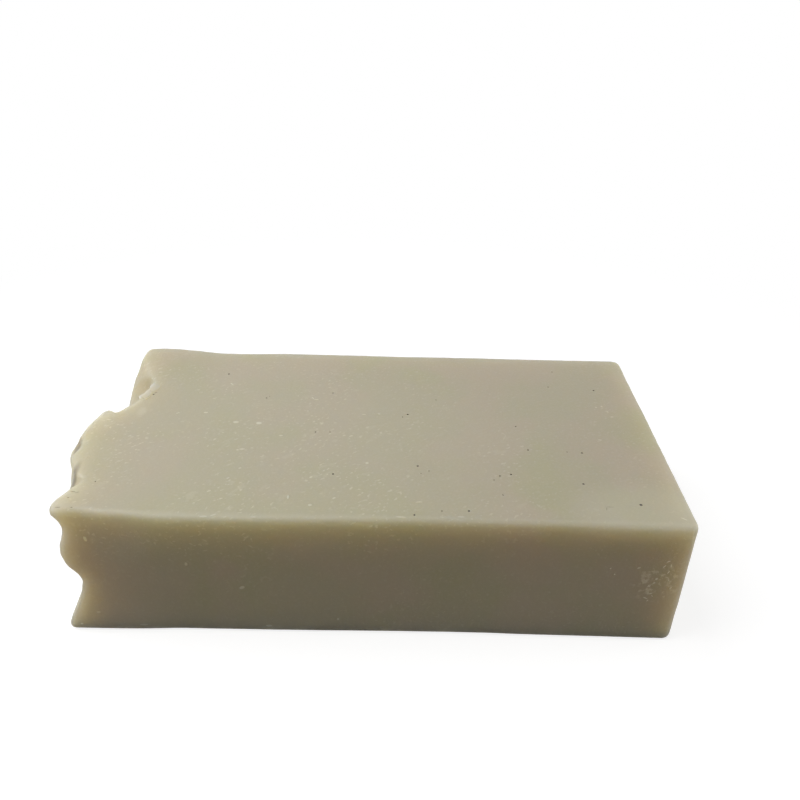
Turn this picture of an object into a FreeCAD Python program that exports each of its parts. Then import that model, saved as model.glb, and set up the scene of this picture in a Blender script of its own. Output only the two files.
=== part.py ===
import FreeCAD, Part
import os

# A bar of hand-made soap, lying on one of its two cut faces.
# It is a slice of a loaf: X runs down through the loaf, Y across the mould, Z along it.
# The -X end is the loaf's spooned top, left rough; the +X end stood on the mould's floor.
# The origin is in the underside, midway along the bar and midway across it.

# Sizes in millimetres
bar_length = 93.2            # flat end to the furthest peak of the spooned end
bar_width = 50.0             # between the faces that touched the mould's walls
bar_thickness = 22.0         # as sliced from the loaf
mould_corner_radius = 1.4    # the mould's two floor corners, along the flat end
edge_radius = 0.8            # every other edge, softened by handling
tool_margin = 3.0            # how far the spooned tool passes the block on each side

# The spooned end, as sections across the bar: how far the soap stands out past the mean
# line, in millimetres, at each height from the top cut face down to the underside.
section_heights = [1.0, 0.89, 0.75, 0.59, 0.43, 0.22, 0.0]      # shares of the thickness
spooned_sections = [
    # name, place across the bar as a share of its width, reaches
    ("near lip", -0.50, [1.1, -0.7, -0.3, -0.1, -1.6, -0.4, 1.7]),
    ("behind the lip", -0.44, [1.0, 0.1, 0.5, 0.2, -1.3, -0.1, 1.5]),
    ("near hollow", -0.35, [-0.2, 0.3, 1.2, 0.5, -0.6, 0.4, 1.4]),
    ("mound shoulder", -0.23, [2.1, 2.6, 3.0, 1.8, 0.6, 1.6, 2.0]),
    ("mound crest", -0.07, [3.1, 3.2, 2.6, 2.2, 2.6, 2.8, 1.6]),
    ("mound edge", 0.03, [1.9, 1.6, 1.8, 2.6, 3.0, 1.8, 0.4]),
    ("scoop wall", 0.11, [-2.9, -1.6, 0.7, 2.3, 2.4, 0.6, -0.8]),
    ("scoop floor", 0.23, [-4.1, -0.8, 1.5, 1.9, 0.8, -1.0, -1.8]),
    ("far swell", 0.36, [-0.7, 1.4, 2.2, 1.2, -0.6, -1.2, -0.4]),
    ("far lip", 0.45, [1.3, 1.3, 0.9, -0.2, -0.6, 0.2, 0.9]),
    ("far corner", 0.50, [0.7, 0.6, 0.1, -0.9, -0.8, 0.4, 0.8]),
]


def longest_reach():
    return max(max(reaches) for _, _, reaches in spooned_sections)


def section_wire(across, reaches):
    """One closed section of the tool that cuts the spooned end, at its place across the bar."""
    mean_line = longest_reach() - bar_length / 2
    outside = -bar_length / 2 - tool_margin
    heights = [share * bar_thickness for share in section_heights]
    points = [FreeCAD.Vector(mean_line - reach, across, height) for reach, height in zip(reaches, heights)]
    over = points[0] + FreeCAD.Vector(0, 0, tool_margin)
    under = points[-1] - FreeCAD.Vector(0, 0, tool_margin)
    spooned = Part.BSplineCurve()
    spooned.interpolate([over] + points + [under])
    above = FreeCAD.Vector(outside, across, over.z)
    below = FreeCAD.Vector(outside, across, under.z)
    return Part.Wire([
        spooned.toShape(),
        Part.makeLine(under, below),
        Part.makeLine(below, above),
        Part.makeLine(above, over),
    ])


def spooned_tool():
    """What the spoon took away from the block: a loft through the sections."""
    first = spooned_sections[0]
    last = spooned_sections[-1]
    wires = [section_wire(first[1] * bar_width - tool_margin, first[2])]
    wires += [section_wire(share * bar_width, reaches) for _, share, reaches in spooned_sections]
    wires += [section_wire(last[1] * bar_width + tool_margin, last[2])]
    return Part.makeLoft(wires, True, False)


def upright_edges(shape):
    """The edges that run from one cut face to the other."""
    return [e for e in shape.Edges if e.BoundBox.ZLength > bar_thickness / 2]


def cut_face_edges(shape):
    """The edges that run round the two cut faces."""
    return [e for e in shape.Edges if e.BoundBox.ZLength < edge_radius / 10]


def mould_block():
    """The slice as the mould and the knife left it, long enough for every peak of the end."""
    block_length = bar_length + tool_margin / 2
    corner = FreeCAD.Vector(bar_length / 2 - block_length, -bar_width / 2, 0)
    block = Part.makeBox(block_length, bar_width, bar_thickness, corner)
    mould_corners = [e for e in upright_edges(block) if e.CenterOfMass.x > 0]
    return block.makeFillet(mould_corner_radius, mould_corners)


def soap_bar():
    """The whole bar: the block, its end spooned, and the edges that the mould didn't round."""
    bar = mould_block().cut(spooned_tool())
    lips = [e for e in upright_edges(bar) if e.CenterOfMass.x < 0]
    return bar.makeFillet(edge_radius, cut_face_edges(bar) + lips).Solids[0]


os.makedirs("parts", exist_ok=True)
soap_bar().exportStep("parts/soap_bar.step")
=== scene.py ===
import math
import bpy
from mathutils import Matrix, Vector


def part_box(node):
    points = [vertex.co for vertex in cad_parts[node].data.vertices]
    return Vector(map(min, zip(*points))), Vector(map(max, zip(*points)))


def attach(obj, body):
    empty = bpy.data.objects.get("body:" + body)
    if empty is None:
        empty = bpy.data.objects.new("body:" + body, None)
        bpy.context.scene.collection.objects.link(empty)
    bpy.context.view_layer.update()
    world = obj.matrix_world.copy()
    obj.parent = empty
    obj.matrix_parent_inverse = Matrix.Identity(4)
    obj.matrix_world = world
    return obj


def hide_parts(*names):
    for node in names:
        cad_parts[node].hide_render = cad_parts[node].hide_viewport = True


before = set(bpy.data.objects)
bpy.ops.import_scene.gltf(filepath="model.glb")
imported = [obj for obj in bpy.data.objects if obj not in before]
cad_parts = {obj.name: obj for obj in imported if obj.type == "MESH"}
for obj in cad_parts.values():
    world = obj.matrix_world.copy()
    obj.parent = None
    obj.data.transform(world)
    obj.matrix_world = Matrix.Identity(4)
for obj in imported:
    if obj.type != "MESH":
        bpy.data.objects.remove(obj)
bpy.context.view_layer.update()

print("frame loaded")

mm = 0.001
barLow, barHigh = (Vector(corner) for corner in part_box("soap_bar"))

# where the photograph was taken from: the eye in millimetres, the turns in degrees
photoCamera = {
    "eye": (3.9, -108.2, 91.3),
    "downTilt": 30.8,
    "swing": -0.28,
    "roll": 1.48,
    "lens": 34.9,
    "sensor": 36.0,
    "clipStart": 5,
    "imageSize": 800,
}


def pick(piece):
    bpy.ops.object.select_all(action="DESELECT")
    piece.select_set(True)
    bpy.context.view_layer.objects.active = piece


def applyModifier(piece, kind, **settings):
    pick(piece)
    bpy.ops.object.modifier_add(type=kind)
    modifier = piece.modifiers[-1]
    for name, value in settings.items():
        setattr(modifier, name, value)
    bpy.ops.object.modifier_apply(modifier=modifier.name)


def cameraTurn():
    swing = Matrix.Rotation(math.radians(photoCamera["swing"]), 4, "Z")
    tilt = Matrix.Rotation(math.radians(90 - photoCamera["downTilt"]), 4, "X")
    roll = Matrix.Rotation(math.radians(photoCamera["roll"]), 4, "Z")
    return swing @ tilt @ roll


def addCamera():
    bpy.ops.object.camera_add()
    camera = bpy.context.object
    camera.name = "photoCamera"
    camera.data.sensor_width = photoCamera["sensor"]
    camera.data.lens = photoCamera["lens"]
    camera.data.clip_start = photoCamera["clipStart"] * mm
    eye = Vector(photoCamera["eye"]) * mm
    camera.matrix_world = Matrix.Translation(eye) @ cameraTurn()
    bpy.context.scene.camera = camera


# the ray that runs from the eye through a pixel of the photograph
def sightLine(pixel):
    middle = photoCamera["imageSize"] / 2
    pixelsPerUnit = photoCamera["imageSize"] * photoCamera["lens"] / photoCamera["sensor"]
    ray = Vector(((pixel[0] - middle) / pixelsPerUnit, (middle - pixel[1]) / pixelsPerUnit, -1))
    return Vector(photoCamera["eye"]) * mm, cameraTurn().to_3x3() @ ray


addCamera()
print("camera placed")

# lengths in millimetres; each roughening is a size of its lumps and how far they stand out
soapShape = {
    "merged": 0.001,
    "voxel": 0.3,
    "smoothing": 3,
    "smoothingShare": 0.5,
    "lumpDetail": 2,
    "waviness": (18, 0.22),
    "edgeWear": (2.0, 0.12),
    "edgeGain": 6,
    "spoonMarks": (3.0, 0.25),
    "spoonedFrom": 0.3,
    "spoonedGain": 2,
    "fadesAboveFloor": 3,
    "flattened": 0.2,
    "softLobe": {"at": (144, 367), "reach": 6.5, "smoothing": 50},
    "keptShare": 0.4,
    "sharpAngle": 50,
}

# how the bar differs from the plain solid: a place as the photograph shows it, or one behind the
# rim, how far round it all moves, how far the move dies out, and the move; all in millimetres
pushes = {
    "tip": {"seenAt": (56, 516), "all": 1.4, "fading": 5.0, "move": (-0.4, 0.45, 0.2)},
    "rim beside the tip": {"seenAt": (96, 519), "all": 1.5, "fading": 8.0, "move": (0, 0.6, 0.1)},
    "hollow under the tip": {"seenAt": (66, 537), "all": 0.4, "fading": 2.0, "move": (0.35, 0, 0)},
    "bulge on the near corner": {"seenAt": (62, 549), "all": 0.6, "fading": 2.2, "move": (-0.25, 0, 0)},
    "corner under the bulge": {"seenAt": (79, 577), "all": 0.5, "fading": 2.2, "move": (0.5, 0, 0)},
    "ridge beside the scoop": {"seenAt": (150, 395), "all": 0.8, "fading": 3.4, "move": (-1.1, 0.3, 0)},
    "bowl of the scoop": {"seenAt": (142, 391), "all": 0.8, "fading": 2.6, "move": (0.4, 0.2, -0.7)},
    "flap": {"seenAt": (108.5, 416), "all": 0.9, "fading": 1.4, "move": (-0.1, 0.8, 0.1)},
    "notch beside the flap": {
        "seenAt": (122, 411), "all": 0.4, "fading": 2.0, "move": (0.2, -1.3, -0.1),
    },
    "upper dip in the rim": {"seenAt": (80, 445), "all": 0.7, "fading": 1.9, "move": (0.9, -0.1, 0)},
    "swelling under the upper dip": {
        "behind": (-46.2, -7.8, 19.4), "all": 0.8, "fading": 2.4, "move": (-0.7, 0, 0),
    },
    "lower dip in the rim": {"seenAt": (76.5, 480), "all": 0.5, "fading": 1.7, "move": (1.0, 0.1, 0)},
    "swelling under the lower dip": {
        "behind": (-44.8, -16.2, 19.2), "all": 0.6, "fading": 2.0, "move": (-0.4, 0, 0),
    },
    "long near rim": {"seenAt": (480, 526), "all": 4.0, "fading": 34.0, "move": (0, 0.6, 0.1)},
    "far left corner": {"seenAt": (157, 352), "all": 2.0, "fading": 12.0, "move": (0, 0.4, 0.3)},
    "end of the far left corner": {
        "seenAt": (149, 353), "all": 0.8, "fading": 2.8, "move": (0.1, -0.2, -0.1),
    },
    "wall under the far left corner": {
        "seenAt": (134, 391), "all": 0.8, "fading": 3.0, "move": (0, 0.15, 0),
    },
    "dip in the far edge": {"seenAt": (238, 354), "all": 1.5, "fading": 9.0, "move": (0, -0.2, -0.1)},
    "near left foot": {"seenAt": (100, 624), "all": 3.0, "fading": 12.0, "move": (0, -0.4, 0)},
}


# the point at a height that shows at a pixel
def atHeight(pixel, height):
    eye, ray = sightLine(pixel)
    return eye + ray * (height - eye.z) / ray.z


# the point of the bar that shows at a pixel, or the nearest one to it, and the way it faces
def seenAt(bar, pixel):
    eye, ray = sightLine(pixel)
    found, spot, facing, _ = bar.ray_cast(eye, ray)
    if not found:
        _, spot, facing, _ = bar.closest_point_on_mesh(atHeight(pixel, barHigh.z))
    return spot, facing


# edit mode with only these vertices selected; edges and faces are deselected first, because they
# are marked apart from their vertices
def editWhere(bar, belongs):
    pick(bar)
    bar.data.polygons.foreach_set("select", [False] * len(bar.data.polygons))
    bar.data.edges.foreach_set("select", [False] * len(bar.data.edges))
    for vertex in bar.data.vertices:
        vertex.select = belongs(vertex)
    bpy.ops.object.mode_set(mode="EDIT")


def push(bar, place):
    centre = Vector(place["behind"]) * mm if "behind" in place else seenAt(bar, place["seenAt"])[0]
    editWhere(bar, lambda v: (v.co - centre).length < place["all"] * mm)
    bpy.ops.transform.translate(value=Vector(place["move"]) * mm, use_proportional_edit=True,
                                proportional_edit_falloff="SMOOTH",
                                proportional_size=place["fading"] * mm)
    bpy.ops.object.mode_set(mode="OBJECT")


def weightedGroup(bar, name, weight):
    group = bar.vertex_groups.new(name=name)
    for vertex in bar.data.vertices:
        share = weight(vertex)
        if share > 0:
            group.add([vertex.index], min(share, 1.0), "REPLACE")


def roughen(bar, group, lumps):
    clouds = bpy.data.textures.new(group, "CLOUDS")
    clouds.noise_scale = lumps[0] * mm
    clouds.noise_depth = soapShape["lumpDetail"]
    applyModifier(bar, "DISPLACE", texture=clouds, vertex_group=group, mid_level=0.5,
                  strength=lumps[1] * mm)


def clearOfFloor(vertex):
    return min(1.0, (vertex.co.z - barLow.z) / (soapShape["fadesAboveFloor"] * mm))


def spoonedShare(vertex):
    facing = -vertex.normal.x - soapShape["spoonedFrom"]
    return facing * soapShape["spoonedGain"] * clearOfFloor(vertex)


# an edge is where the surface faces none of the three ways
def edgeShare(vertex):
    turned = 1 - max(abs(part) for part in vertex.normal)
    return turned * soapShape["edgeGain"] * clearOfFloor(vertex)


# in full within half the reach, and dying out over the other half
def softenLobe(bar):
    lobe = soapShape["softLobe"]
    centre = seenAt(bar, lobe["at"])[0]
    weightedGroup(bar, "lobe", lambda v: 2 - 2 * (v.co - centre).length / (lobe["reach"] * mm))
    applyModifier(bar, "SMOOTH", vertex_group="lobe", factor=soapShape["smoothingShare"],
                  iterations=lobe["smoothing"])


def flattenUnderside(bar):
    editWhere(bar, lambda v: v.co.z < barLow.z + soapShape["flattened"] * mm)
    bpy.ops.transform.resize(value=(1, 1, 0), center_override=(0, 0, barLow.z))
    bpy.ops.object.mode_set(mode="OBJECT")


def makeBar():
    pick(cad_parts["soap_bar"])
    bpy.ops.object.duplicate()
    bar = bpy.context.object
    bar.name = "soapBar"
    bpy.ops.object.mode_set(mode="EDIT")
    bpy.ops.mesh.select_all(action="SELECT")
    bpy.ops.mesh.remove_doubles(threshold=soapShape["merged"] * mm)
    bpy.ops.object.mode_set(mode="OBJECT")
    applyModifier(bar, "REMESH", mode="VOXEL", voxel_size=soapShape["voxel"] * mm)
    softenLobe(bar)
    for place in pushes.values():
        push(bar, place)
    weightedGroup(bar, "allRound", lambda v: 1.0)
    weightedGroup(bar, "spooned", spoonedShare)
    weightedGroup(bar, "edges", edgeShare)
    roughen(bar, "allRound", soapShape["waviness"])
    roughen(bar, "spooned", soapShape["spoonMarks"])
    roughen(bar, "edges", soapShape["edgeWear"])
    applyModifier(bar, "SMOOTH", factor=soapShape["smoothingShare"],
                  iterations=soapShape["smoothing"])
    flattenUnderside(bar)
    applyModifier(bar, "DECIMATE", decimate_type="COLLAPSE", ratio=soapShape["keptShare"])
    return bar


bar = makeBar()
print("bar shaped")

# small marks: where each shows in the photograph, its length and width in millimetres, and which
# way it lies on its face in degrees; each is a ball of this thickness, this far proud of the
# face, drawn at this share of its length and width
# pinholes: holes cut into the soap, their insides coloured dark as painted shade
pinholes = {
    "joins": "DIFFERENCE",
    "colour": "shadeInPits",
    "thickness": 0.5,
    "proud": 0.25,
    "drawnAt": 0.78,
    "marks": {
        "lone one far left": (229, 374, 0.5, 0.5, 0),
        "left of the far middle": (266.6, 398, 0.42, 0.34, 40),
        "beside it": (269.8, 396.3, 0.25, 0.2, 0),
        "far middle": (333, 393, 0.4, 0.35, 0),
        "left middle": (315.5, 432, 0.36, 0.36, 0),
        "left middle, second": (330, 432, 0.3, 0.3, 0),
        "near left middle": (333, 474, 0.42, 0.42, 0),
        "middle": (407.7, 414.5, 0.42, 0.42, 0),
        "middle, second": (402.5, 417, 0.3, 0.3, 0),
        "middle, far": (436, 400, 0.3, 0.3, 0),
        "near middle": (417.8, 466, 0.48, 0.45, 0),
        "near middle, second": (429, 471, 0.3, 0.2, -35),
        "near middle, third": (421, 473.5, 0.2, 0.2, 0),
        "near rim": (414.4, 515, 0.42, 0.42, 0),
        "near rim, second": (442, 511, 0.3, 0.3, 0),
        "near rim, third": (469, 511, 0.48, 0.45, 0),
        "far right": (593.5, 390.6, 0.45, 0.45, 0),
        "far right, second": (548, 387, 0.35, 0.35, 0),
        "far right, third": (552, 372, 0.3, 0.3, 0),
        "right middle": (515.7, 426.5, 0.36, 0.36, 0),
        "right middle, second": (528, 450, 0.42, 0.4, 0),
        "right middle, third": (582, 453, 0.5, 0.42, 0),
        "right middle, faint": (567, 452, 0.3, 0.25, 0),
        "row of three": (511, 474.5, 0.45, 0.4, -30),
        "row of three, second": (500, 476, 0.36, 0.34, 0),
        "row of three, third": (494, 480, 0.28, 0.26, 0),
        "scratch by the row": (503, 495, 0.4, 0.18, -40),
        "near right": (583.5, 484, 0.5, 0.42, -20),
        "near right corner": (641, 505, 0.6, 0.55, 0),
        "under the torn crumb": (153.5, 394.3, 0.5, 0.42, 0),
        "crease under the torn crumb": (155.8, 392.6, 0.8, 0.16, 50),
        "on the mound": (95.3, 481.5, 0.26, 0.26, 0),
    },
}
# creases and cracks: grooves cut into the soap, coloured darker inside as painted shade
creases = {
    "joins": "DIFFERENCE",
    "colour": "shadeInCreases",
    "thickness": 0.16,
    "proud": 0.08,
    "drawnAt": 1.0,
    "marks": {
        "across the tip": (73, 491.6, 1.0, 0.16, -12),
        "across the tip, bent end": (77.2, 492.3, 0.6, 0.14, 25),
        "along the tip": (57.5, 507.3, 0.8, 0.14, 5),
        "by the tip": (68, 497.5, 0.3, 0.24, 0),
        "on the tip": (71.5, 507.5, 0.3, 0.24, 0),
        "near right crack": (610, 507, 1.2, 0.1, 0),
        "near right crack, bent end": (606.8, 509, 0.8, 0.1, 80),
    },
}
crumbs = {
    "joins": "UNION",
    "colour": "crumbled",
    "thickness": 0.3,
    "proud": 0.06,
    "drawnAt": 1.4,
    "marks": {
        "pale spot, left": (259, 423, 0.9, 0.7, 0),
        "pale spot, further left": (236, 422, 0.9, 0.6, 0),
        "double crumb": (242, 449, 0.8, 0.32, 10),
        "double crumb, second": (237.6, 449.8, 0.4, 0.3, 0),
        "slanting crumb": (232, 384, 0.9, 0.3, -50),
        "pair by the ridge": (206, 412.5, 0.7, 0.4, 0),
        "flake, far middle": (313, 398, 0.7, 0.22, -60),
        "flake, far middle, tail": (316.5, 399.6, 0.8, 0.18, 0),
        "dot under the flake": (308, 411, 0.28, 0.28, 0),
        "crumb, near left": (209, 491, 0.6, 0.24, 30),
        "crumb, near left, second": (228, 478, 0.5, 0.2, 35),
        "crumb, near left, third": (221, 498.5, 0.5, 0.22, 30),
        "crumb, near left, fourth": (240, 468, 0.4, 0.2, 30),
        "standing crumb": (288, 497, 0.26, 0.8, 5),
        "crumb, near middle": (310, 505, 0.5, 0.45, 0),
        "crumb, near middle, second": (311, 477, 0.5, 0.32, 40),
        "crumb, near middle, third": (334, 498, 0.5, 0.25, 30),
        "crumb, middle": (281, 435.5, 0.6, 0.3, 0),
        "spot, middle": (367, 463, 0.5, 0.45, 0),
        "curl, near middle": (419, 502, 1.0, 0.2, 5),
        "crumb, middle, second": (379, 414, 0.45, 0.24, -20),
        "crumb, middle, third": (364, 414.5, 0.6, 0.18, 0),
        "crumb, middle, fourth": (381, 433, 0.45, 0.3, 0),
        "streak, middle": (351, 436, 0.7, 0.22, 30),
        "crumb on the near rim": (203, 516.5, 1.0, 0.22, 5),
        "crumb on the near rim, second": (213, 515, 0.7, 0.2, 20),
        "crumb on the near rim, third": (253, 517, 0.7, 0.2, 0),
        "crumb on the near rim, fourth": (400, 517, 1.2, 0.2, 0),
        "crumb on the near rim, fifth": (461, 517, 0.9, 0.18, 0),
        "dots, far right": (596, 407.5, 0.3, 0.25, 0),
        "dots, far right, second": (601.5, 406.5, 0.3, 0.3, 0),
        "dots, far right, third": (607.5, 412, 0.4, 0.2, -50),
        "dots, far right, fourth": (612, 417, 0.6, 0.14, 0),
        "streak, right": (600, 440, 0.6, 0.14, -10),
        "crumb by the near right corner": (684, 519, 0.9, 0.25, -35),
        "lip of the flap": (109, 419.5, 0.8, 0.14, -10),
        "streak by the mound": (178, 413, 0.7, 0.2, 40),
        "oval bump on the near corner": (85, 539, 0.4, 0.8, 20),
        "flake at the near left foot": (98.6, 612, 0.6, 0.22, 0),
        "flake at the near left foot, second": (82, 623.5, 0.4, 0.3, 0),
        "nick in the near lower edge": (144, 624.5, 1.2, 0.3, 0),
        "nick in the near lower edge, second": (269, 625.5, 0.9, 0.4, 0),
        "spot on the near face": (242, 587.5, 0.8, 0.5, 30),
        "spot on the near face, second": (338, 619, 0.35, 0.35, 0),
        "spot on the near face, third": (186, 564, 0.4, 0.6, 0),
    },
}
scuffs = {
    "joins": "UNION",
    "colour": "scraped",
    "thickness": 0.3,
    "proud": 0.05,
    "drawnAt": 1.1,
    "marks": {
        "top": (668.5, 561.8, 0.8, 0.16, 25),
        "top, right side": (671.2, 566, 0.18, 0.9, 0),
        "top, left side": (664.5, 566.5, 0.9, 0.18, 50),
        "top, foot": (668.3, 572.5, 0.8, 0.18, 60),
        "middle": (656.5, 579, 0.6, 0.4, 60),
        "middle, lower": (654, 583, 0.5, 0.3, 30),
        "cross": (649, 586, 1.0, 0.2, 45),
        "cross, second": (649, 586, 0.8, 0.2, -45),
        "lower": (650.5, 593.5, 0.8, 0.24, 30),
        "lower, second": (652, 595.8, 0.6, 0.16, -60),
        "foot": (645.3, 598, 1.0, 0.2, -25),
        "foot, second": (647.3, 600.5, 0.6, 0.18, 60),
        "right": (670.5, 588, 0.6, 0.25, 55),
        "right, second": (668.5, 580.5, 0.3, 0.2, 0),
        "left": (639, 568, 0.7, 0.25, 20),
        "far left": (614.5, 574.5, 0.35, 0.3, 0),
        "far left, second": (610.5, 568.5, 0.4, 0.25, 40),
    },
}

# the crumb of soap torn up along the ridge by the scoop: two pieces, outlined as they show
tornCrumb = {
    "deep": 0.8,
    "nearPiece": {
        "proud": 0.16,
        "outline": [
            (138.9, 396.3), (142, 394.4), (144.4, 393.2), (147.1, 390.6), (149.4, 389.2),
            (151.2, 391.5), (150.6, 393.9), (149.7, 396.3), (145.2, 398.9), (142, 397.4),
        ],
    },
    "farPiece": {
        "proud": 0.07,
        "outline": [
            (149.7, 388.9), (150.3, 386.1), (152.2, 384.2), (154.2, 382.9), (156.2, 383.6),
            (158, 383.9), (160.5, 386.1), (159.6, 388), (155.4, 389.9), (154, 391.9), (151.5, 391.7),
        ],
    },
}


# colours as shares of light; the depth that light scatters to is in millimetres
soapLook = {
    "cream": (0.434, 0.392, 0.275, 1),
    "greenCast": (0.422, 0.392, 0.252, 1),
    "pinkCast": (0.452, 0.391, 0.287, 1),
    "haze": (0.52, 0.485, 0.35, 1),
    "pale": (0.64, 0.61, 0.48, 1),
    "crumbled": (0.62, 0.59, 0.46, 1),
    "torn": (0.455, 0.42, 0.32, 1),
    "scraped": (0.68, 0.65, 0.54, 1),
    "shaded": (0.22, 0.195, 0.14, 1),
    # painted light for the rim of the mound
    "paleRimLight": (0.50, 0.45, 0.33, 1),
    # painted shade for the hollow of the scoop
    "hollowShade": (0.40, 0.33, 0.19, 1),
    # painted shade for the insides of the pinholes
    "shadeInPits": (0.14, 0.115, 0.075, 1),
    # painted shade for the insides of the creases
    "shadeInCreases": (0.33, 0.295, 0.205, 1),
    "clearMarks": ("crumbled", "torn"),
    "markRoughness": 0.6,
    "roughness": 0.4,
    "roughnessSpread": 0.2,
    "scatterDepth": 18,
    "scatterByColour": (1.0, 0.83, 0.56),
}


def scatterLight(shader):
    shader.inputs["Subsurface Weight"].default_value = 1.0
    shader.inputs["Subsurface Radius"].default_value = soapLook["scatterByColour"]
    shader.inputs["Subsurface Scale"].default_value = soapLook["scatterDepth"] * mm


def addPlain(colour):
    material = bpy.data.materials.new(colour + "Soap")
    material.use_nodes = True
    shader = material.node_tree.nodes["Principled BSDF"]
    shader.inputs["Base Color"].default_value = soapLook[colour]
    shader.inputs["Roughness"].default_value = soapLook["markRoughness"]
    if colour in soapLook["clearMarks"]:
        scatterLight(shader)
    return material


# a ball 1 mm across, before it is drawn out to a mark's size
ball = {"segments": 10, "rings": 6, "radius": 0.5}


# a ball in the face where a mark shows, drawn out to the mark's size
def addGrain(bar, mark, kind):
    across, down, length, width, lean = mark
    spot, facing = seenAt(bar, (across, down))
    right = (Vector((1, 0, 0)) - facing * facing.x).normalized()
    onFace = Matrix((right, facing.cross(right), facing)).transposed()
    turn = onFace @ Matrix.Rotation(math.radians(lean), 3, "Z")
    centre = spot + facing * (kind["proud"] - kind["thickness"] / 2) * mm
    bpy.ops.mesh.primitive_uv_sphere_add(segments=ball["segments"], ring_count=ball["rings"],
                                         radius=ball["radius"] * mm, location=centre,
                                         rotation=turn.to_euler())
    grain = bpy.context.object
    grain.scale = (length * kind["drawnAt"], width * kind["drawnAt"], kind["thickness"])
    bpy.ops.object.transform_apply(location=True, rotation=True, scale=True)
    return grain


def addTornPiece(bar, piece):
    height = max(seenAt(bar, pixel)[0].z for pixel in piece["outline"]) + piece["proud"] * mm
    thickness = Vector((0, 0, (tornCrumb["deep"] + piece["proud"]) * mm))
    corners = [atHeight(pixel, height) - thickness for pixel in piece["outline"]]
    mesh = bpy.data.meshes.new("tornPiece")
    mesh.from_pydata(corners, [], [list(range(len(corners)))])
    torn = bpy.data.objects.new("tornPiece", mesh)
    bpy.context.collection.objects.link(torn)
    pick(torn)
    bpy.ops.object.mode_set(mode="EDIT")
    bpy.ops.mesh.select_all(action="SELECT")
    bpy.ops.mesh.extrude_region_move(TRANSFORM_OT_translate={"value": thickness})
    bpy.ops.mesh.select_all(action="SELECT")
    bpy.ops.mesh.normals_make_consistent(inside=False)
    bpy.ops.object.mode_set(mode="OBJECT")
    return torn


# the small tools are first made one solid, because some of them run into each other
def cutWith(bar, tools, operation, material):
    tool, rest = tools[0], tools[1:]
    pick(rest[0])
    for other in rest:
        other.select_set(True)
    bpy.ops.object.join()
    applyModifier(tool, "BOOLEAN", operation="UNION", solver="EXACT", use_self=True, object=rest[0])
    tool.data.materials.clear()
    tool.data.materials.append(material)
    applyModifier(bar, "BOOLEAN", operation=operation, solver="MANIFOLD",
                  material_mode="TRANSFER", object=tool)
    pick(tool)
    rest[0].select_set(True)
    bpy.ops.object.delete()


def addTornCrumb(bar):
    pieces = [addTornPiece(bar, tornCrumb["farPiece"]), addTornPiece(bar, tornCrumb["nearPiece"])]
    cutWith(bar, pieces, "UNION", addPlain("torn"))


def addMarks(bar, kind):
    grains = [addGrain(bar, mark, kind) for mark in kind["marks"].values()]
    cutWith(bar, grains, kind["joins"], addPlain(kind["colour"]))


def newGroup(name, inputs, outputs):
    group = bpy.data.node_groups.new(name, "ShaderNodeTree")
    for label, kind in inputs:
        group.interface.new_socket(name=label, in_out="INPUT", socket_type=kind)
    for label, kind in outputs:
        group.interface.new_socket(name=label, in_out="OUTPUT", socket_type=kind)
    return group, group.nodes.new("NodeGroupInput"), group.nodes.new("NodeGroupOutput")


def addMath(tree, operation, first, second, third=None, clamp=False):
    node = tree.nodes.new("ShaderNodeMath")
    node.operation = operation
    node.use_clamp = clamp
    for socket, value in zip(node.inputs, (first, second, third)):
        if isinstance(value, (int, float)):
            socket.default_value = value
        elif value is not None:
            tree.links.new(value, socket)
    return node.outputs[0]


def addNoise(tree, position, size, detail=3.0, roughness=0.5):
    node = tree.nodes.new("ShaderNodeTexNoise")
    node.inputs["Detail"].default_value = detail
    node.inputs["Roughness"].default_value = roughness
    tree.links.new(position, node.inputs["Vector"])
    if isinstance(size, (int, float)):
        node.inputs["Scale"].default_value = 1 / size
    else:
        tree.links.new(addMath(tree, "DIVIDE", 1.0, size), node.inputs["Scale"])
    return node.outputs["Fac"]


def addRamp(tree, value, low, high):
    node = tree.nodes.new("ShaderNodeMapRange")
    node.interpolation_type = "SMOOTHSTEP"
    for socket, source in ((0, value), (1, low), (2, high)):
        if isinstance(source, (int, float)):
            node.inputs[socket].default_value = source
        else:
            tree.links.new(source, node.inputs[socket])
    return node.outputs["Result"]


def addMix(tree, amount, first, second):
    node = tree.nodes.new("ShaderNodeMix")
    node.data_type = "RGBA"
    for socket, value in ((0, amount), (6, first), (7, second)):
        if isinstance(value, (int, float, tuple)):
            node.inputs[socket].default_value = value
        else:
            tree.links.new(value, node.inputs[socket])
    return node.outputs[2]


# patch size in millimetres; each tint starts and is full at these levels of its noise, and the
# second tint's noise is the first one's from another place
mottling = {
    "patchSize": 14,
    "first": (0.42, 0.62),
    "second": (0.45, 0.65),
    "elsewhere": (0.31, 0.17, 0.05),
}


# soft patches of two tints over a base colour
def mottleGroup():
    group, given, result = newGroup(
        "mottle",
        [("Position", "NodeSocketVector"), ("Patch Size", "NodeSocketFloat"),
         ("Base", "NodeSocketColor"), ("First Tint", "NodeSocketColor"),
         ("Second Tint", "NodeSocketColor")],
        [("Colour", "NodeSocketColor")],
    )
    patchSize = given.outputs["Patch Size"]
    first = addRamp(group, addNoise(group, given.outputs["Position"], patchSize), *mottling["first"])
    offset = group.nodes.new("ShaderNodeVectorMath")
    offset.inputs[1].default_value = mottling["elsewhere"]
    group.links.new(given.outputs["Position"], offset.inputs[0])
    second = addRamp(group, addNoise(group, offset.outputs[0], patchSize), *mottling["second"])
    tinted = addMix(group, first, given.outputs["Base"], given.outputs["First Tint"])
    tinted = addMix(group, second, tinted, given.outputs["Second Tint"])
    group.links.new(tinted, result.inputs["Colour"])
    return group


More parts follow.
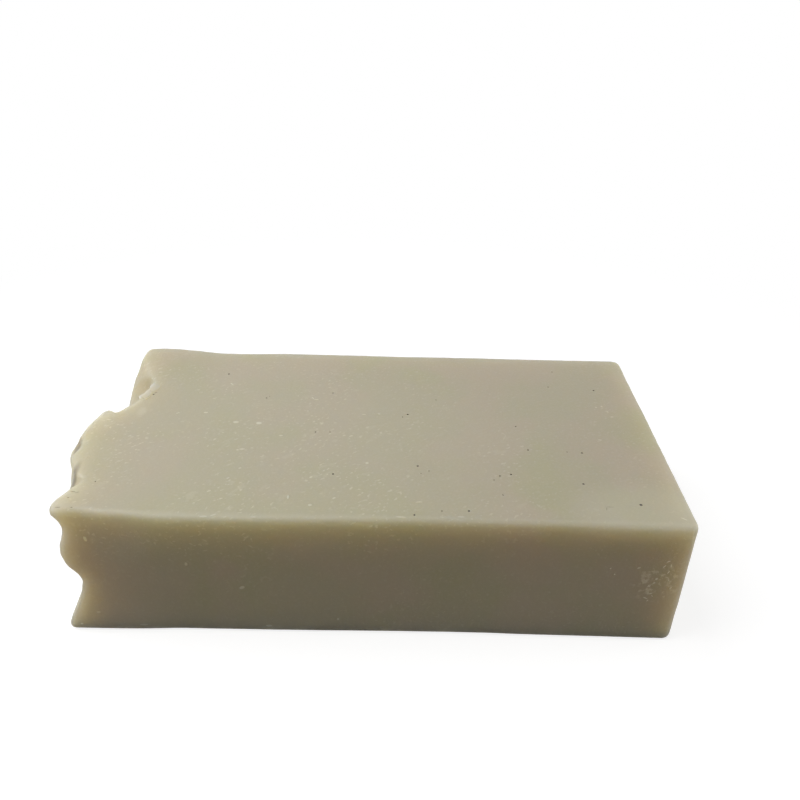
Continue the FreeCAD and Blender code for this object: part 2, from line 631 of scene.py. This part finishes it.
# sizes in millimetres, the lean in degrees; a higher threshold leaves fewer specks, and each kind
# shows this much everywhere and this much more where they crowd
specks = {
    "fine": {"size": 0.5, "stretch": 1.7, "threshold": 0.62, "everywhere": 0.05, "crowded": 0.6},
    "broad": {"size": 1.4, "stretch": 1.6, "threshold": 0.62, "everywhere": 0, "crowded": 0.2},
}
speckEdge = 0.1
speckLean = -40
crowding = {"size": 12, "levels": (0.35, 0.65), "everywhere": 0.3, "inTheCrowd": 0.7}
powder = {"size": 0.4, "detail": 2.0, "levels": (0.45, 0.8), "share": 0.12}


# scattered specks, longer than wide, that lean one way
def speckGroup():
    group, given, result = newGroup(
        "specks",
        [("Position", "NodeSocketVector"), ("Lean", "NodeSocketFloat"), ("Size", "NodeSocketFloat"),
         ("Stretch", "NodeSocketFloat"), ("Threshold", "NodeSocketFloat")],
        [("Mask", "NodeSocketFloat")],
    )
    turn = group.nodes.new("ShaderNodeVectorRotate")
    turn.rotation_type = "Z_AXIS"
    group.links.new(given.outputs["Position"], turn.inputs["Vector"])
    group.links.new(given.outputs["Lean"], turn.inputs["Angle"])
    steps = group.nodes.new("ShaderNodeCombineXYZ")
    along = addMath(group, "MULTIPLY", given.outputs["Size"], given.outputs["Stretch"])
    group.links.new(along, steps.inputs[0])
    group.links.new(given.outputs["Size"], steps.inputs[1])
    group.links.new(given.outputs["Size"], steps.inputs[2])
    divide = group.nodes.new("ShaderNodeVectorMath")
    divide.operation = "DIVIDE"
    group.links.new(turn.outputs[0], divide.inputs[0])
    group.links.new(steps.outputs[0], divide.inputs[1])
    noise = addNoise(group, divide.outputs[0], 1.0, 1.0)
    full = addMath(group, "ADD", given.outputs["Threshold"], speckEdge)
    group.links.new(addRamp(group, noise, given.outputs["Threshold"], full), result.inputs["Mask"])
    return group


# the share of the way in from its edge at which a patch is full
patchFullAt = 0.7


# a soft ball of influence round one place
def patchGroup():
    group, given, result = newGroup(
        "patch",
        [("Position", "NodeSocketVector"), ("Place", "NodeSocketVector"),
         ("Reach", "NodeSocketVector")],
        [("Mask", "NodeSocketFloat")],
    )
    offset = group.nodes.new("ShaderNodeVectorMath")
    offset.operation = "SUBTRACT"
    group.links.new(given.outputs["Position"], offset.inputs[0])
    group.links.new(given.outputs["Place"], offset.inputs[1])
    share = group.nodes.new("ShaderNodeVectorMath")
    share.operation = "DIVIDE"
    group.links.new(offset.outputs[0], share.inputs[0])
    group.links.new(given.outputs["Reach"], share.inputs[1])
    length = group.nodes.new("ShaderNodeVectorMath")
    length.operation = "LENGTH"
    group.links.new(share.outputs[0], length.inputs[0])
    inside = addMath(group, "SUBTRACT", 1.0, length.outputs["Value"], clamp=True)
    group.links.new(addRamp(group, inside, 0.0, patchFullAt), result.inputs["Mask"])
    return group


def addGroup(tree, group, position, **values):
    node = tree.nodes.new("ShaderNodeGroup")
    node.node_tree = group
    tree.links.new(position, node.inputs["Position"])
    for name, value in values.items():
        node.inputs[name.replace("_", " ")].default_value = value
    return node.outputs[0]


# places where the colour differs, some of it painted light or shade: the middle of each as it shows,
# its reach in millimetres, and how much of which colour it takes on; the first ones lie under the
# specks, the others over them
patchesUnderSpecks = {
    # lighter towards the left of the top, where the specks also crowd
    "lighter left, crowded specks": {"seenAt": (220, 460), "reach": (62, 48, 10), "tint": "haze", "share": 0.35},
    # painted highlight: a pale line along the near top rim
    "near rim": {"seenAt": (400, 520.5), "reach": (200, 1.0, 1.0), "tint": "haze", "share": 0.35},
    # painted highlight on the near right corner
    "near right corner": {"seenAt": (655, 512), "reach": (16, 9, 5), "tint": "pale", "share": 0.25},
    "square by the mound": {
        "seenAt": (142, 411.5), "reach": (1.1, 2.0, 1.0), "tint": "pale", "share": 0.3,
    },
}
patchesOverSpecks = {
    # painted light: a pale band along the rim of the mound, where light shines through the edge
    "rim of the mound": {"seenAt": (80, 466), "reach": (2.4, 7, 2.4), "tint": "paleRimLight", "share": 0.5},
    # painted shade in the hollow of the scoop, beside the ridge
    "hollow of the scoop": {
        "seenAt": (142, 389), "reach": (3.0, 3.6, 3.0), "tint": "hollowShade", "share": 0.5,
    },
}
# painted shade on the end face where it shows beyond the two dips in the rim
rimDips = {
    "upper": {"seenAt": (78, 446.5), "reach": (0.9, 3.0, 2.0)},
    "lower": {"seenAt": (73.8, 477.5), "height": 21.2, "reach": (0.9, 4.0, 2.5)},
    "tint": "shaded",
    "share": 0.95,
}
scrapedPlace = {"seenAt": (656, 583), "reach": (4.5, 3, 5), "tint": "scraped", "share": 0.75}
scraping = {"size": 1.1, "detail": 4.0, "roughness": 0.65, "levels": (0.52, 0.64)}
grainLook = {"size": 0.6, "bump": 0.05, "speckBump": 0.4}


def addPatch(bar, tree, group, position, patch):
    pixel = patch["seenAt"]
    place = atHeight(pixel, patch["height"] * mm) if "height" in patch else seenAt(bar, pixel)[0]
    return addGroup(tree, group, position, Place=place, Reach=Vector(patch["reach"]) * mm)


def addTint(tree, colour, mask, share, tint):
    return addMix(tree, addMath(tree, "MULTIPLY", mask, share), colour, soapLook[tint])


# the specks over a colour, and the mask of each kind of them
def addSpecks(tree, position, colour, crowd):
    group = speckGroup()
    uneven = addRamp(tree, addNoise(tree, position, crowding["size"] * mm), *crowding["levels"])
    gathered = addMath(tree, "MULTIPLY_ADD", crowd, crowding["inTheCrowd"], crowding["everywhere"])
    crowded = addMath(tree, "MULTIPLY", uneven, gathered)
    masks = {}
    for name, kind in specks.items():
        masks[name] = addGroup(tree, group, position, Lean=math.radians(speckLean),
                               Size=kind["size"] * mm, Stretch=kind["stretch"],
                               Threshold=kind["threshold"])
        share = addMath(tree, "MULTIPLY_ADD", crowded, kind["crowded"], kind["everywhere"])
        colour = addTint(tree, colour, masks[name], share, "pale")
    return colour, masks


def soapMaterial(bar):
    material = bpy.data.materials.new("handMadeSoap")
    material.use_nodes = True
    tree = material.node_tree
    soap = tree.nodes["Principled BSDF"]
    scatterLight(soap)
    position = tree.nodes.new("ShaderNodeTexCoord").outputs["Object"]
    colour = addGroup(tree, mottleGroup(), position, Patch_Size=mottling["patchSize"] * mm,
                      Base=soapLook["cream"], First_Tint=soapLook["greenCast"],
                      Second_Tint=soapLook["pinkCast"])
    group = patchGroup()
    masks = {}
    for name, patch in patchesUnderSpecks.items():
        masks[name] = addPatch(bar, tree, group, position, patch)
        colour = addTint(tree, colour, masks[name], patch["share"], patch["tint"])
    colour, speckMasks = addSpecks(tree, position, colour, masks["lighter left, crowded specks"])
    powdered = addRamp(tree, addNoise(tree, position, powder["size"] * mm, powder["detail"]),
                       *powder["levels"])
    colour = addTint(tree, colour, powdered, powder["share"], "pale")
    for patch in patchesOverSpecks.values():
        mask = addPatch(bar, tree, group, position, patch)
        colour = addTint(tree, colour, mask, patch["share"], patch["tint"])
    # painted shade beyond the dips in the rim
    dips = addMath(tree, "MAXIMUM", addPatch(bar, tree, group, position, rimDips["upper"]),
                   addPatch(bar, tree, group, position, rimDips["lower"]))
    colour = addTint(tree, colour, dips, rimDips["share"], rimDips["tint"])
    blotches = addNoise(tree, position, scraping["size"] * mm, scraping["detail"],
                        scraping["roughness"])
    scraped = addMath(tree, "MULTIPLY", addPatch(bar, tree, group, position, scrapedPlace),
                      addRamp(tree, blotches, *scraping["levels"]))
    colour = addTint(tree, colour, scraped, scrapedPlace["share"], scrapedPlace["tint"])
    tree.links.new(colour, soap.inputs["Base Color"])
    grain = addNoise(tree, position, grainLook["size"] * mm)
    dull = addMath(tree, "MULTIPLY_ADD", grain, soapLook["roughnessSpread"], soapLook["roughness"])
    tree.links.new(dull, soap.inputs["Roughness"])
    bump = tree.nodes.new("ShaderNodeBump")
    bump.inputs["Distance"].default_value = grainLook["bump"] * mm
    raised = addMath(tree, "MULTIPLY", speckMasks["fine"], grainLook["speckBump"])
    tree.links.new(addMath(tree, "ADD", grain, raised), bump.inputs["Height"])
    tree.links.new(bump.outputs["Normal"], soap.inputs["Normal"])
    return material


bar.data.materials.clear()
bar.data.materials.append(soapMaterial(bar))
addTornCrumb(bar)
for kind in (crumbs, scuffs, pinholes, creases):
    addMarks(bar, kind)
print("crumbs and marks made")
pick(bar)
bpy.ops.object.shade_smooth_by_angle(angle=math.radians(soapShape["sharpAngle"]))
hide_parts("soap_bar")
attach(bar, "root")
triangles = sum(len(face.vertices) - 2 for face in bar.data.polygons)
print("soap finished,", triangles, "triangles")

# a strength or colour of 1 is white; places, sizes and distances in metres
studio = {
    "floorSide": 6.0,
    "floorSeen": 0.35,
    "floorGlow": 0.80,
    "whiteFrom": 0.07,
    "whiteBeyond": 0.16,
    "floorBounce": (0.36, 0.31, 0.21, 1),
    "ambient": 0.18,
    "lamps": {
        "overhead": {"at": (-0.27, 0.02, 0.36), "size": 0.45, "power": 1.95},
        "fromTheLeft": {"at": (-0.6, 0.15, 0.15), "size": 0.4, "power": 0.14},
        "fromTheRight": {"at": (0.6, 0.1, 0.13), "size": 0.4, "power": 1.6},
    },
}


# true for what the camera sees straight, mirrored or through something clear
def addSeenByCamera(tree):
    path = tree.nodes.new("ShaderNodeLightPath")
    seen = addMath(tree, "MAXIMUM", path.outputs["Is Camera Ray"], path.outputs["Is Glossy Ray"])
    return addMath(tree, "MAXIMUM", seen, path.outputs["Is Transmission Ray"])


def addShaderMix(tree, amount, first, second):
    mix = tree.nodes.new("ShaderNodeMixShader")
    tree.links.new(amount, mix.inputs["Fac"])
    tree.links.new(first, mix.inputs[1])
    tree.links.new(second, mix.inputs[2])
    return mix.outputs[0]


def addGlow(tree, kind, strength):
    glow = tree.nodes.new(kind)
    glow.inputs["Color"].default_value = (1, 1, 1, 1)
    glow.inputs["Strength"].default_value = strength
    return glow.outputs[0]


def addDiffuse(tree, colour):
    diffuse = tree.nodes.new("ShaderNodeBsdfDiffuse")
    diffuse.inputs["Color"].default_value = colour
    return diffuse.outputs[0]


# white, with the object's faint shadow close to it; it throws back a dimmer light than it shows
def floorMaterial():
    material = bpy.data.materials.new("paleFloor")
    material.use_nodes = True
    tree = material.node_tree
    tree.nodes.clear()
    near = tree.nodes.new("ShaderNodeAddShader")
    grey = studio["floorSeen"]
    tree.links.new(addDiffuse(tree, (grey, grey, grey, 1)), near.inputs[0])
    tree.links.new(addGlow(tree, "ShaderNodeEmission", studio["floorGlow"]), near.inputs[1])
    distance = tree.nodes.new("ShaderNodeVectorMath")
    distance.operation = "LENGTH"
    tree.links.new(tree.nodes.new("ShaderNodeTexCoord").outputs["Object"], distance.inputs[0])
    far = addRamp(tree, distance.outputs["Value"], studio["whiteFrom"], studio["whiteBeyond"])
    seen = addShaderMix(tree, far, near.outputs[0], addGlow(tree, "ShaderNodeEmission", 1.0))
    surface = addShaderMix(tree, addSeenByCamera(tree), addDiffuse(tree, studio["floorBounce"]), seen)
    tree.links.new(surface, tree.nodes.new("ShaderNodeOutputMaterial").inputs["Surface"])
    return material


def addFloor():
    bpy.ops.mesh.primitive_plane_add(size=studio["floorSide"], location=(0, 0, barLow.z))
    floor = bpy.context.object
    floor.name = "floor"
    floor.data.materials.append(floorMaterial())


def addLamps():
    for name, lamp in studio["lamps"].items():
        bpy.ops.object.light_add(type="AREA", location=lamp["at"])
        light = bpy.context.object
        light.name = name
        light.data.size = lamp["size"]
        light.data.energy = lamp["power"]
        light.rotation_euler = (-Vector(lamp["at"])).to_track_quat("-Z", "Y").to_euler()


def addWorld():
    world = bpy.data.worlds.new("studio")
    bpy.context.scene.world = world
    world.use_nodes = True
    tree = world.node_tree
    tree.nodes.clear()
    dim = addGlow(tree, "ShaderNodeBackground", studio["ambient"])
    white = addGlow(tree, "ShaderNodeBackground", 1.0)
    surface = addShaderMix(tree, addSeenByCamera(tree), dim, white)
    tree.links.new(surface, tree.nodes.new("ShaderNodeOutputWorld").inputs["Surface"])


addFloor()
addLamps()
addWorld()
bpy.context.scene.view_settings.view_transform = "Standard"
print("studio lit")
